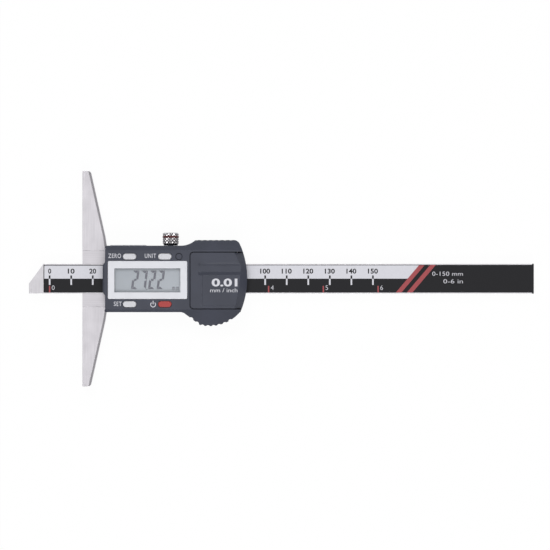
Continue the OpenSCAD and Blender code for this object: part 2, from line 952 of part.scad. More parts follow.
// Where the battery cover lies, grown by g, seen from the front
module lid_outline(g) {
    difference() {
        translate([lid_px - g, lid_bottom - g]) square([big, lid_top - lid_bottom + 2 * g]);
        translate([lid_px - g, lid_bottom - g]) corner_cut(lid_r + g);
        translate([lid_px - g, lid_top + g]) mirror([0, 1]) corner_cut(lid_r + g);
    }
}

module well_place() {
    translate([cell_px, cell_y]) children();
}

// The space that the left bay, the board and the frame need
module front_hollow() {
    difference() {
        union() {
            prism(-over, front_in) intersection() {
                hollow_outline();
                square([2 * (bay_x - bay_wall), big], center = true);
            }
            prism(-over, deck_z) difference() {
                hollow_outline();
                square([2 * bay_x, big], center = true);
                well_place() circle(well_r + well_wall);
            }
        }
        block([bez_x, bez_y, bezel_z - ledge_t], [bez_end, bez_top, big]);
        above_shoulders(wall);
    }
    prism(-over, well_floor) hollow_outline();
}

module battery_bay() {
    prism(deck_top, big) lid_outline(lid_gap);
    prism(well_z, big) well_place() circle(well_r);
    prism(over_base, big) difference() {
        intersection() {
            lid_outline(lid_gap);
            translate([deck_end, -big]) square([big, 2 * big]);
        }
        well_place() circle(well_r + well_wall);
    }
    block([lid_px + rail_back, lid_bottom - rail_w - fit, deck_top],
          [big, lid_top + rail_w + fit, deck_top + rail_h + 2 * fit]);
}

module contact_slots() {
    block([leaf_x - contact_room, cell_y + cell_r + leaf_gap / 2, 0],
          [leaf_x + leaf_w + contact_room, cell_y + cell_r + leaf_foot + room, big]);
    block([strip_end - contact_room, cell_y - strip_half - contact_room, 0],
          [strip_end + contact_t + contact_room, cell_y + strip_half + contact_room, cell_z]);
}

module button_hole(x, y) {
    translate([x, y, front_in - over])
        linear_extrude(wall + 2 * over) stadium(button_l + 2 * button_gap, button_h + 2 * button_gap);
}

module front_cover() {
    color([0.32, 0.33, 0.37]) difference() {
        union() {
            difference() {
                case_shell();
                front_hollow();
            }
            for (p = case_screws) translate([p[0], p[1], board_top])
                cylinder(r = boss_r, h = deck_z + deck_t / 2 - board_top);
            for (i = [0, 1]) translate([case_screws[i][0], case_screws[i][1], deck_z])
                cylinder(r = boss_r, h = front_in - deck_z + eps);
        }
        battery_bay();
        contact_slots();
        prism(bezel_z, big) translate([bez_x - bezel_room, bez_y - bezel_room])
            round_rect(bezel_l + 2 * bezel_room, bezel_h + 2 * bezel_room, bezel_r + bezel_room);
        block([lens_x - fit, lens_y - fit, board_top],
              [lens_x + lens_l + fit, lens_y + lens_h + fit, big]);
        for (x = columns, y = rows) button_hole(x, y);
        translate([plug_px, rows[0], front_in - over]) cylinder(r = plug_r + plug_gap, h = big);
        for (p = case_screws) translate([p[0], p[1], 0])
            cylinder(r = case_screw_r + fit, h = screw_top + hole_spare);
        block([deck_end, -half_blade - blade_room, slot_z - blade_room],
              [big, half_blade + blade_room, well_floor]);
        lock_bore(lock_r + blade_room, in_up - over, big);
        for (s = [-1, 1]) along_y(lock_px + s * gib_screw_off, in_up - over, axis_z)
            cylinder(r = gib_screw_r + driver_room, h = big);
        port_channel();
    }
}

module rear_cover() {
    color([0.3, 0.31, 0.35]) difference() {
        prism(0, rear_t) intersection() {
            case_outline();
            translate([low_case_x, -big]) square([big, 2 * big]);
        }
        for (p = case_screws) translate([p[0], p[1], 0]) countersunk_hole(case_screw_r + fit, big);
    }
}

module cover_screws() {
    color([0.4, 0.4, 0.42]) for (p = case_screws)
        translate([p[0], p[1], 0]) countersunk_screw(case_screw_r, screw_top);
}

// The solid end of the case, from its end arc, a wall in
module end_disc() {
    translate([end_cx, 0]) circle(end_r - wall);
}

// Two V-shaped finger grooves across the lid, round at their left ends
module lid_bands() {
    for (i = [0, 1]) translate([lid_px + band_x, band_y[i], case_t - band_d[i]]) {
        h = 2 * band_d[i];
        r = 2 * band_half[i];
        cylinder(r1 = 0, r2 = r, h = h);
        rotate([90, 0, 90]) linear_extrude(big) polygon([[0, 0], [r, h], [-r, h]]);
    }
}

module battery_cover() {
    color([0.31, 0.33, 0.37]) difference() {
        union() {
            prism(lid_low, case_t) intersection() {
                case_outline();
                lid_outline(0);
            }
            block([lid_px + 2 * rail_back, lid_bottom - rail_w, lid_z],
                  [deck_end, lid_top + rail_w, lid_z + rail_h]);
        }
        beyond_slope(0);
        difference() {
            union() {
                prism(-over, lid_z) end_disc();
                prism(-over, front_in) intersection() {
                    translate([lid_px + wall, lid_bottom + wall])
                        square([big, lid_top - lid_bottom - 2 * wall]);
                    end_disc();
                }
            }
            beyond_slope(wall);
        }
        lid_bands();
        block([lid_px + panel_x, lid_bottom + wall, case_t - panel_d], [big, panel_top, big]);
    }
}

// Display

module display_bezel() {
    color([0.88, 0.88, 0.9]) prism(bezel_z, case_t + fit) difference() {
        translate([bez_x, bez_y]) round_rect(bezel_l, bezel_h, bezel_r);
        translate([win_x, win_y]) square([window_l, window_h]);
    }
}

module display_lens() {
    color([0.75, 0.8, 0.85, 0.4])
        translate([lens_x, lens_y, lens_z]) cube([lens_l, lens_h, lens_t]);
}

module display_panel() {
    color([0.68, 0.7, 0.73])
        translate([lens_x, lens_y, panel_z]) cube([lens_l, lens_h, panel_t - panel_ink]);
}

// A seven-segment figure with mitred strokes; on lists its lit strokes a to g
module figure(on) {
    half = digit_h / 2;
    g = digit_gap;
    in = stroke / 2;
    module flat() {
        polygon([
            [g, 0],
            [digit_w - g, 0],
            [digit_w - stroke - g, stroke],
            [stroke + g, stroke]
        ]);
    }
    module upright() {
        polygon([
            [0, g],
            [stroke, stroke + g],
            [stroke, half - in],
            [0, half - g]
        ]);
    }
    if (on[0]) translate([0, digit_h]) mirror([0, 1]) flat();
    if (on[1]) translate([digit_w, digit_h]) rotate(180) upright();
    if (on[2]) translate([digit_w, 0]) mirror([1, 0]) upright();
    if (on[3]) flat();
    if (on[4]) upright();
    if (on[5]) translate([0, digit_h]) mirror([0, 1]) upright();
    if (on[6]) polygon([
        [in + g, half],
        [stroke + g, half + in],
        [digit_w - stroke - g, half + in],
        [digit_w - in - g, half],
        [digit_w - stroke - g, half - in],
        [stroke + g, half - in]
    ]);
}

two = [1, 1, 0, 1, 1, 0, 1];
seven = [1, 1, 1, 0, 0, 0, 0];
reading = [two, seven, two, two];

module display_figures() {
    slant = tan(digit_slant);
    color([0.42, 0.42, 0.46]) prism(lens_z - panel_ink, lens_z)
        multmatrix([
            [1, slant, 0, digit_x],
            [0, 1, 0, win_y + digit_low],
            [0, 0, 1, 0],
            [0, 0, 0, 1]
        ]) {
            for (i = [0 : digit_count - 1]) translate([i * digit_pitch, 0]) figure(reading[i]);
            translate([point_x, -point_drop]) square(point_w);
        }
}

module zebra_strips() {
    color([0.85, 0.5, 0.55]) for (y = [lens_y + zebra_in, lens_y + lens_h - zebra_w - zebra_in])
        translate([lens_x + zebra_x, y, board_top])
            cube([lens_l - 2 * zebra_x, zebra_w, panel_z - board_top]);
}

// Board and what sits on it

module circuit_board() {
    color([0.1, 0.35, 0.2]) difference() {
        block([board_x, -board_half, board_z], [board_end, board_half, board_top]);
        for (p = case_screws) translate(p) cylinder(r = case_screw_r + hole_spare, h = big);
    }
}

module display_chip() {
    color([0.1, 0.1, 0.11])
        translate([win_x + (window_l - chip_w) / 2, win_y + (window_h - chip_w) / 2, board_top])
            cube([chip_w, chip_w, chip_t]);
}

// Where the switch under the button at x, y has its middle
module key_place(x, y) {
    translate([x, y - sign(y) * key_in, 0]) children();
}

module key_switches() {
    color([0.25, 0.25, 0.27]) for (x = columns, y = rows)
        key_place(x, y) translate([0, 0, board_top]) {
            translate([-key_l / 2, -key_w / 2, 0]) cube([key_l, key_w, key_t]);
            cylinder(r = key_r, h = key_t + key_plunger);
        }
}

// A button: its cap, the flange that keeps it in the case, and the stem over its switch
module button(x, y) {
    stem = board_top + key_t + key_plunger + button_travel + key_slack;
    translate([x, y, 0]) {
        prism(button_z, case_t + button_proud) stadium(button_l, button_h);
        prism(button_z - flange_t, button_z) stadium(button_l + 2 * flange_w, button_h + 2 * flange_w);
    }
    key_place(x, y) prism(stem, button_z) circle(key_r);
}

module zero_button() {
    color([0.83, 0.83, 0.86]) button(columns[0], rows[0]);
}

module unit_button() {
    color([0.83, 0.83, 0.86]) button(columns[1], rows[0]);
}

module set_button() {
    color([0.83, 0.83, 0.86]) button(columns[0], rows[1]);
}

module power_button() {
    color([0.7, 0.3, 0.3]) button(columns[1], rows[1]);
}

module blanking_plug() {
    color([0.3, 0.31, 0.35]) translate([plug_px, rows[0], 0]) {
        translate([0, 0, front_in]) cylinder(r = plug_r, h = wall - plug_sunk);
        translate([0, 0, front_in - plug_flange_t])
            cylinder(r = plug_r + plug_flange, h = plug_flange_t);
    }
}

module coin_cell() {
    color([0.8, 0.8, 0.82]) well_place() {
        translate([0, 0, cell_z + cell_foot]) cylinder(r = cell_r, h = cell_t - cell_foot);
        translate([0, 0, cell_z]) cylinder(r = cell_r - cell_rim, h = 2 * cell_foot);
    }
}

module positive_contact() {
    y = cell_y + cell_r + leaf_gap;
    color([0.85, 0.75, 0.45]) {
        block([leaf_x, y, board_top], [leaf_x + leaf_w, y + contact_t, cell_top - leaf_short]);
        block([leaf_x, y, board_top], [leaf_x + leaf_w, y + leaf_foot, board_top + contact_t]);
    }
}

module negative_contact() {
    top = well_z + contact_t;
    color([0.85, 0.75, 0.45]) {
        block([strip_end, cell_y - strip_half, well_z],
              [strip_end + strip_l, cell_y + strip_half, top]);
        block([strip_end, cell_y - strip_half, board_top],
              [strip_end + contact_t, cell_y + strip_half, top]);
    }
}

module data_socket() {
    color([0.12, 0.12, 0.13]) difference() {
        block([socket_x, socket_y, board_top],
              [socket_x + socket_l, port_in - room, board_top + socket_t]);
        for (i = [0 : pin_count - 1])
            along_y(socket_x + pin_x + pin_pitch * i, port_in - over, board_top + pin_pitch)
                cylinder(r = pin_r, h = big);
    }
}

// The channel in the case's upper side that the port cover slides out of, and the socket's opening
module port_channel() {
    end = port_px + port_l + room;
    block([0, port_in, port_z], [end, big, port_z + port_h]);
    block([0, port_in, port_z - port_lip], [end, port_in + port_lip, port_z + port_h + port_lip]);
    block([socket_x - room, port_in - 2 * over, board_top - room],
          [socket_x + socket_l + room, port_in + room, board_top + socket_t + room]);
}

module port_cover() {
    color([0.6, 0.6, 0.64]) {
        block([port_px, port_in + fit, port_z + room],
              [port_px + port_l, case_up + port_proud, port_z + port_h - room]);
        block([port_px, port_in + fit, port_z + room - port_lip],
              [port_px + port_l, port_in + port_lip - fit, port_z + port_h + port_lip - room]);
    }
}

blade();
stop_plate();
stop_screws();
scale_strip();
scale_film();
black_print();
red_print();
base_bridge();
slider_frame();
base_screws();
gib_strip();
gib_screws();
lock_shoe();
lock_screw();
lock_screw_ring();
front_cover();
rear_cover();
cover_screws();
display_bezel();
display_lens();
display_panel();
display_figures();
zebra_strips();
circuit_board();
display_chip();
key_switches();
zero_button();
unit_button();
set_button();
power_button();
blanking_plug();
coin_cell();
positive_contact();
negative_contact();
battery_cover();
data_socket();
port_cover();
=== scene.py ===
"""Digital depth caliper, lying on its back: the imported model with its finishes.

Sizes are in millimetres, in the frame's own axes: the origin is on the measuring face, +X runs
along the blade away from its tip, +Y along the base and +Z out of the display.
"""
import json
from math import cos, pi, radians, sin

import bmesh
import bpy
from mathutils import Matrix, Vector


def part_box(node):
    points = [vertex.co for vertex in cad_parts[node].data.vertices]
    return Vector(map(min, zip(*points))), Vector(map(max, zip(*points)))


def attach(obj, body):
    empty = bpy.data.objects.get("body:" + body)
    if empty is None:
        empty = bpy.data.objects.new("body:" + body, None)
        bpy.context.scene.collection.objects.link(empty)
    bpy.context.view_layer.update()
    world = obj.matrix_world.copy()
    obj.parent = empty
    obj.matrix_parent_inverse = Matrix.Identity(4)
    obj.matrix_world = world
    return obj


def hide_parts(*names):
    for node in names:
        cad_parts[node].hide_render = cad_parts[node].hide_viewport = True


MM = 0.001
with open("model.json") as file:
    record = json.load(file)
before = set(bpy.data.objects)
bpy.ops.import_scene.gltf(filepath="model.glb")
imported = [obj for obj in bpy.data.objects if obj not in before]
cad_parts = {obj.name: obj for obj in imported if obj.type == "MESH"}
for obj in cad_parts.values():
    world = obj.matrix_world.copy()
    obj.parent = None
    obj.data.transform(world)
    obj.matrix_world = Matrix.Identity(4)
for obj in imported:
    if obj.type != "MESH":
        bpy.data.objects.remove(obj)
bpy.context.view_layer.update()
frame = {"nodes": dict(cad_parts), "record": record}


def box(node):
    """Lowest and highest corner of a node of the frame, in millimetres."""
    lo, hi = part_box(node)
    return lo / MM, hi / MM


# Camera

# Width of the picture in pixels, its scale, and the place that its middle shows
IMAGE = 550
PX_PER_MM = 2.161
MIDDLE = Vector((89.36, 1.71, 0))
CAMERA_HEIGHT = 3000
SENSOR = 36


def make_camera():
    """Looks straight down, so far away that the sides of the case hardly show."""
    data = bpy.data.cameras.new("camera")
    data.sensor_width = SENSOR
    front = box("front_cover")[1].z
    data.lens = SENSOR * (CAMERA_HEIGHT - front) / (IMAGE / PX_PER_MM)
    camera = bpy.data.objects.new("camera", data)
    camera.location = (MIDDLE + Vector((0, 0, CAMERA_HEIGHT))) * MM
    bpy.context.scene.collection.objects.link(camera)
    bpy.context.scene.camera = camera


# Materials

# A grinding line's length and width
LINE_LONG = 14
LINE_WIDE = 0.16
# Width of a pebble of the spark-eroded plastic, and of the cloudy patches on plated metal
PEBBLE = 0.25
CLOUD = 1.5
# Scale of the wave texture that puts its diagonal bands 4.4 mm apart
WEAVE_SCALE = 100
KNURL_DEPTH = 0.36
# Share of the knurl's depth at which the painted shade of its grooves ends and the painted
# highlight of its tips begins
KNURL_PAINTED_LIGHT = (0.08, 0.48)


def linear(code):
    """An sRGB hex colour as the linear colour that the shaders take."""
    parts = [int(code[i:i + 2], 16) / 255 for i in (0, 2, 4)]
    return [c / 12.92 if c <= 0.04045 else ((c + 0.055) / 1.055) ** 2.4 for c in parts] + [1]


def add(tree, kind, sockets=None, **settings):
    """Adds a node with its settings. A socket takes a value, or another node's output as a link."""
    node = tree.nodes.new(kind)
    for name, value in settings.items():
        setattr(node, name, value)
    for key, value in (sockets or {}).items():
        if isinstance(value, bpy.types.NodeSocket):
            tree.links.new(value, node.inputs[key])
        else:
            node.inputs[key].default_value = value
    return node


def emptied(owner):
    """The node tree of a material or a world, with nothing in it."""
    owner.use_nodes = True
    owner.node_tree.nodes.clear()
    return owner.node_tree


def start(name, **values):
    """A material with one principled shader. Gives it, its shader and its place in metres."""
    material = bpy.data.materials.new(name)
    tree = emptied(material)
    shader = add(tree, "ShaderNodeBsdfPrincipled")
    for key, value in values.items():
        socket = shader.inputs[key.replace("_", " ").title().replace("Ior", "IOR")]
        socket.default_value = linear(value) if isinstance(value, str) else value
    add(tree, "ShaderNodeOutputMaterial", {"Surface": shader.outputs[0]})
    return material, shader, add(tree, "ShaderNodeTexCoord").outputs["Object"]


def tinted(material, shader, factor, low, high, at=(0, 1)):
    """Colours the shader from low to high as the factor goes over the two places of at."""
    tree = material.node_tree
    ramp = add(tree, "ShaderNodeValToRGB", {"Fac": factor})
    for stop, place, code in zip(ramp.color_ramp.elements, at, (low, high)):
        stop.position = place
        stop.color = linear(code)
    tree.links.new(ramp.outputs["Color"], shader.inputs["Base Color"])


def varied(material, shader, factor, low, high):
    """Spreads a factor of 0 to 1 over low to high as the shader's roughness."""
    tree = material.node_tree
    spread = add(tree, "ShaderNodeMapRange", {"Value": factor, "To Min": low, "To Max": high})
    tree.links.new(spread.outputs[0], shader.inputs["Roughness"])


def raised(material, shader, height, depth, strength=1.0):
    """Bumps the shader by a height of 0 to 1, which stands for depth in millimetres."""
    tree = material.node_tree
    bump = add(tree, "ShaderNodeBump",
               {"Height": height, "Distance": depth * MM, "Strength": strength})
    tree.links.new(bump.outputs[0], shader.inputs["Normal"])


def grain(material, place, size, detail=2.0):
    """Cloudy noise whose clouds are about size millimetres, a number or one for each axis."""
    tree = material.node_tree
    sizes = size if isinstance(size, tuple) else (size,) * 3
    scale = add(tree, "ShaderNodeMapping",
                {"Vector": place, "Scale": [1 / (s * MM) for s in sizes]})
    noise = add(tree, "ShaderNodeTexNoise",
                {"Vector": scale.outputs[0], "Scale": 1.0, "Detail": detail})
    return noise.outputs["Fac"]


def ground_steel(name, low, high, along):
    """Stainless steel, surface ground: a pale warm grey with fine lines along one axis, which
    spread its gloss across them. The lines are drawn a few times as wide as real ones."""
    material, shader, place = start(name, metallic=1.0, roughness=0.35)
    line = tuple(LINE_LONG if axis == along else LINE_WIDE for axis in "xyz")
    lines = grain(material, place, line, 3)
    tinted(material, shader, lines, low, high, (0.3, 0.7))
    varied(material, shader, grain(material, place, 6), 0.3, 0.42)
    raised(material, shader, lines, 0.002)
    return material


def spark_eroded_plastic(name, low, high):
    """ABS moulded in a spark-eroded tool: a fine even pebble that breaks up the gloss, and a
    faint drift of the colour from the flow of the melt."""
    material, shader, place = start(name, roughness=0.5, ior=1.45)
    tinted(material, shader, grain(material, place, 9, 1), low, high, (0.35, 0.65))
    pebble = grain(material, place, PEBBLE, 1)
    varied(material, shader, pebble, 0.42, 0.56)
    raised(material, shader, pebble, 0.012, 0.5)
    return material


def smooth_plastic(name, low, high, rough=(0.25, 0.38)):
    """Glossy moulded plastic: an even colour under a soft sheen, with very shallow flow marks."""
    material, shader, place = start(name, roughness=0.3, ior=1.5)
    tinted(material, shader, grain(material, place, 5), low, high, (0.35, 0.65))
    varied(material, shader, grain(material, place, 1.2), *rough)
    raised(material, shader, grain(material, place, 0.8, 1), 0.004, 0.5)
    return material


def screen_ink(name, low, high):
    """Screen-printed ink: dense and flat, with the faint mottle that the mesh leaves."""
    material, shader, place = start(name, roughness=0.45, ior=1.36)
    tinted(material, shader, grain(material, place, 0.6), low, high, (0.3, 0.7))
    varied(material, shader, grain(material, place, 0.4, 1), 0.4, 0.55)
    return material


def plated_metal(name, low, high, rough=(0.18, 0.34)):
    """Metal with a thin plated skin: bright, and clouded a little by handling."""
    material, shader, place = start(name, metallic=1.0, roughness=0.25)
    tinted(material, shader, grain(material, place, CLOUD), low, high, (0.3, 0.7))
    varied(material, shader, grain(material, place, CLOUD * 3), *rough)
    return material


def acrylic_window():
    """Clear acrylic: only its gloss shows, and what is behind it stays plain to read."""
    material, shader, place = start("clear_acrylic", base_color="F4F7FA", roughness=0.05, ior=1.49,
                                    alpha=0.10)
    varied(material, shader, grain(material, place, 7), 0.04, 0.09)
    return material


def liquid_crystal_glass():
    """The reflective liquid crystal cell: grey-blue, with painted shade that darkens it a little
    towards its upper left, where the bezel's rim shades the recessed cell.
    """
    material, shader, place = start("liquid_crystal_cell", roughness=0.5, ior=1.5)
    tree = material.node_tree
    lo, hi = box("display_panel")
    size = hi - lo
    # From 0 at the upper left to 1 at the lower right, half of it along each side
    spread = add(tree, "ShaderNodeMapping", {
        "Vector": place,
        "Location": (-lo.x / size.x * 0.5, hi.y / size.y * 0.5, 0),
        "Scale": (0.5 / (size.x * MM), -0.5 / (size.y * MM), 0)})
    split = add(tree, "ShaderNodeSeparateXYZ", {"Vector": spread.outputs[0]})
    # Painted shade: the colour darkens towards the upper left, as the bezel's rim shades the cell
    drift = add(tree, "ShaderNodeMath", {0: split.outputs[0], 1: split.outputs[1]}, operation="ADD")
    tinted(material, shader, drift.outputs[0], "9198A0", "A0A6AE", (0.1, 0.9))
    varied(material, shader, grain(material, place, 0.5), 0.4, 0.5)
    return material


def masked_board():
    """Glass cloth in epoxy under green solder mask: a gloss over a faint diagonal weave, drawn
    several times as coarse as real cloth so that it shows."""
    material, shader, place = start("green_solder_mask", roughness=0.3, ior=1.55)
    weave = add(material.node_tree, "ShaderNodeTexWave",
                {"Vector": place, "Scale": WEAVE_SCALE, "Distortion": 0.5},
                bands_direction="DIAGONAL")
    tinted(material, shader, weave.outputs["Fac"], "12472B", "185636")
    varied(material, shader, grain(material, place, 2), 0.25, 0.4)
    return material


def knurled_steel():
    """Nickel-plated steel, cut by the knurling wheel: its grooves are painted dark as shade and its
    tips painted bright as highlight, told apart by their distance from the screw's own axis."""
    material, shader, place = start("nickel_plated_knurl", metallic=1.0, roughness=0.3)
    tree = material.node_tree
    lo, hi = box("lock_screw")
    middle = (lo + hi) / 2 * MM
    across = add(tree, "ShaderNodeVectorMath", {0: place, 1: (-middle.x, 0, -middle.z)})
    flat = add(tree, "ShaderNodeVectorMath", {0: across.outputs[0], 1: (1, 0, 1)},
               operation="MULTIPLY")
    away = add(tree, "ShaderNodeVectorMath", {0: flat.outputs[0]}, operation="LENGTH")
    knob_r = (hi.x - lo.x) / 2
    depth = add(tree, "ShaderNodeMapRange", {
        "Value": away.outputs["Value"],
        "From Min": (knob_r - KNURL_DEPTH) * MM, "From Max": knob_r * MM})
    # Painted shade in the knurl's grooves, painted highlight on its tips
    tinted(material, shader, depth.outputs[0], "2A282B", "FFFBFD", KNURL_PAINTED_LIGHT)
    varied(material, shader, grain(material, place, 0.5), 0.25, 0.4)
    return material


def make_materials():
    """One finish for each material slot of the record."""
    return {
        "blade_steel": ground_steel("ground_stainless_blade", "C8C5CA", "DCDADE", "y"),
        "base_steel": ground_steel("ground_stainless_base", "CAC7CC", "DAD7DC", "y"),
        "frame_steel": ground_steel("milled_stainless_frame", "C8C5CA", "D5D2D7", "x"),
        "dark_steel": plated_metal("black_oxide_steel", "26272B", "34353A", (0.35, 0.5)),
        "screw_steel": plated_metal("zinc_plated_screws", "8E9094", "B4B6BA"),
        "strip_laminate": smooth_plastic("glass_epoxy_strip", "8F7134", "A4853F"),
        "light_film": screen_ink("white_printed_film", "CECED5", "D4D4DB"),
        "black_ink": screen_ink("black_screen_ink", "07070D", "0B0B12"),
        "red_ink": screen_ink("red_screen_ink", "9A4549", "A34C50"),
        "gib_brass": plated_metal("cast_brass_gib", "B08D49", "CBA95F"),
        "knob_steel": knurled_steel(),
        "ring_red": smooth_plastic("dark_red_lacquer", "450A0A", "4F0D0D"),
        "case_plastic": spark_eroded_plastic("grey_blue_abs_case", "373A46", "3B3E4B"),
        "bezel_silver": smooth_plastic("silver_white_bezel_paint", "D8D9DF", "DCDDE3"),
        "lens_clear": acrylic_window(),
        "panel_grey": liquid_crystal_glass(),
        "figure_grey": screen_ink("driven_liquid_crystal", "575764", "5F5F6B"),
        "zebra_rubber": smooth_plastic("layered_silicone_strip", "B98A92", "C79AA2", (0.5, 0.6)),
        "board_green": masked_board(),
        "chip_black": smooth_plastic("black_epoxy_resin", "141416", "1C1C1F", (0.4, 0.5)),
        "button_light": smooth_plastic("pale_grey_button_abs", "CCCCD1", "D0D0D5"),
        "button_red": smooth_plastic("red_button_abs", "A43A38", "A93E3C"),
        "cell_steel": plated_metal("nickel_plated_cell", "BDBEC2", "D6D7DA"),
        "contact_gilt": plated_metal("gilt_spring_bronze", "B79A55", "D3B66C"),
        "port_grey": smooth_plastic("grey_rubber_port_cover", "C4C4CC", "CCCCD4", (0.45, 0.6)),
    }


# Pieces

# Edges that bend by more degrees than this stay crisp
SHARP = 23.5
# Outer edges of a solid that bend by more degrees than this are rounded
EDGE_BEND = 28
ROUNDING_STEPS = 4
# Faces that bend by fewer degrees than this count as one flat face
FLAT_BEND = 0.5
# Points nearer to each other than this are one point
WELD = 0.0005

# Solids that get rounded edges: node, body, slot, radius, and the cuts, as an axis and places on it
SOFTENED = (
    ("front_cover", "slider", "case_plastic", 0.15, "x", (14, 30, 45, 58, 66, 70)),
    ("battery_cover", "battery_cover", "case_plastic", 0.15, "x", (54.75, 55.2, 73.2)),
    ("base_bridge", "slider", "base_steel", 0.12, "y", (-47, -20.5, -18.5, 18.5, 20.5, 47)),
    ("blade", "blade", "blade_steel", 0.08),
    ("display_bezel", "slider", "bezel_silver", 0.2),
    ("zero_button", "zero_button", "button_light", 0.3),
    ("unit_button", "unit_button", "button_light", 0.3),
    ("set_button", "set_button", "button_light", 0.3),
    ("power_button", "power_button", "button_red", 0.3),
    ("blanking_plug", "slider", "case_plastic", 0.1),
    ("port_cover", "port_cover", "port_grey", 0.15),
)


def placed(name, form):
    """Turns a mesh in millimetres into an object of the scene, which is in metres."""
    bmesh.ops.scale(form, vec=(MM,) * 3, verts=form.verts)
    mesh = bpy.data.meshes.new(name)
    form.to_mesh(mesh)
    form.free()
    obj = bpy.data.objects.new(name, mesh)
    bpy.context.scene.collection.objects.link(obj)
    return obj


def piece(name, form, body, slot, replaces=()):
    """Turns a mesh in millimetres into a piece that rides on a body and has a slot's finish."""
    bmesh.ops.recalc_face_normals(form, faces=form.faces)
    for edge in form.edges:
        edge.smooth = edge.calc_face_angle(pi) < radians(SHARP)
    for face in form.faces:
        face.smooth = True
    obj = placed(name, form)
    obj.modifiers.new("even_normals", "WEIGHTED_NORMAL").keep_sharp = True
    obj.data.materials.append(finishes[slot])
    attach(obj, body)
    if replaces:
        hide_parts(*replaces)
    return obj


def node_form(node):
    """A node's solid as a mesh in millimetres, with its flat faces made whole again."""
    form = bmesh.new()
    form.from_mesh(frame["nodes"][node].data)
    bmesh.ops.scale(form, vec=(1 / MM,) * 3, verts=form.verts)
    bmesh.ops.remove_doubles(form, verts=form.verts, dist=WELD)
    bmesh.ops.dissolve_limit(form, angle_limit=radians(FLAT_BEND), verts=form.verts,
                             edges=form.edges)
    return form


def soften(node, body, slot, radius, axis="x", cuts=()):
    """Takes the solid of a node and rounds its outer edges. Cuts across it, at these places on an
    axis, keep the shading of long narrow faces from being bent by their ends."""
    form = node_form(node)
    edges = [
        e for e in form.edges
        if e.is_manifold and e.calc_face_angle_signed() > radians(EDGE_BEND)
    ]
    bmesh.ops.bevel(form, geom=edges, offset=radius, offset_type="OFFSET",
                    segments=ROUNDING_STEPS, profile=0.5, affect="EDGES", clamp_overlap=True)
    way = Vector([float(axis == name) for name in "xyz"])
    for place in cuts:
        bmesh.ops.bisect_plane(form, geom=form.verts[:] + form.edges[:] + form.faces[:],
                               dist=WELD, plane_co=way * place, plane_no=way)
    piece(node + "_softened", form, body, slot, (node,))


def slab(form, outline, low, high):
    """Adds a flat solid with that outline, a list of (x, y), between two heights."""
    bottom = [form.verts.new((x, y, low)) for x, y in outline]
    top = [form.verts.new((x, y, high)) for x, y in outline]
    form.faces.new(list(reversed(bottom)))
    form.faces.new(top)
    for i in range(len(outline)):
        j = (i + 1) % len(outline)
        form.faces.new((bottom[i], bottom[j], top[j], top[i]))


def plate(form, left, foot, right, head, low, high):
    """Adds a flat rectangular solid between two heights."""
    slab(form, [(left, foot), (right, foot), (right, head), (left, head)], low, high)


# Letters

# Height of the built-in letters' capitals at a size of 1
CAP = 0.682
CURVE_STEPS = 4


def write(form, text, x, y, height, low, high, width=None, bold=0.0, anchor="RIGHT", spread=1.0):
    """Adds a line of text as flat solids. x and y give the place of its anchor on the line's foot,
    height is that of its capitals, and width, where it is given, stretches the line to fit."""
    curve = bpy.data.curves.new(text, "FONT")
    curve.body = text
    curve.offset = bold
    curve.space_character = spread
    curve.resolution_u = CURVE_STEPS
    # Half a unit to each side makes the letters one unit thick, which is then scaled
    curve.extrude = 0.5
    holder = bpy.data.objects.new(text, curve)
    mesh = bpy.data.meshes.new_from_object(holder)
    left = min(v.co.x for v in mesh.vertices)
    right = max(v.co.x for v in mesh.vertices)
    up = height / CAP
    across = width / (right - left) if width else up
    start_x = {"LEFT": left, "CENTER": (left + right) / 2, "RIGHT": right}[anchor]
    mesh.transform(
        Matrix.Translation((x, y, (low + high) / 2))
        @ Matrix.Diagonal((across, up, high - low, 1))
        @ Matrix.Translation((-start_x, 0, 0)))
    form.from_mesh(mesh)
    bpy.data.objects.remove(holder)
    bpy.data.curves.remove(curve)
    bpy.data.meshes.remove(mesh)


# Thickness of the black ink and of the light ink on top of it
INK = 0.05
LIGHT_INK = 0.01
# Last numeral and step of the millimetre scale, and last numeral of the inch scale
RANGE = 150
MARK_PITCH = 10
INCHES = 6
INCH = 25.4
MARK_W = 0.62
NUMERAL_H = 2.1
# Width of a numeral by its count of figures
NUMERAL_W = {1: 1.4, 2: 3.15, 3: 4.6}
# Foot and boldness of the millimetre numerals
MM_FOOT = 2.45
MM_BOLD = 0.025
# Foot and boldness of the inch numerals, and how far they stand to the right of their marks
INCH_FOOT = -5.2
INCH_BOLD = -0.01
INCH_ASIDE = 1.0
# Range marks: words, foot and width
RANGE_MARKS = (("0-150 mm", 1.35, 14.2), ("0-6 in", -2.15, 9.0))
RANGE_END = 176.5
RANGE_H = 1.9
RANGE_BOLD = -0.008
# The painted shade along the film's tip and top edge, drawn in black ink: its width from the tip
# on, its thinner width further along, the length of its cut corner, and the places where it turns
# thin and where it ends
EDGE_SHADE = 0.34
EDGE_SHADE_THIN = 0.22
EDGE_SHADE_CORNER = 0.6
EDGE_SHADE_STEP = 70
EDGE_SHADE_END = 160


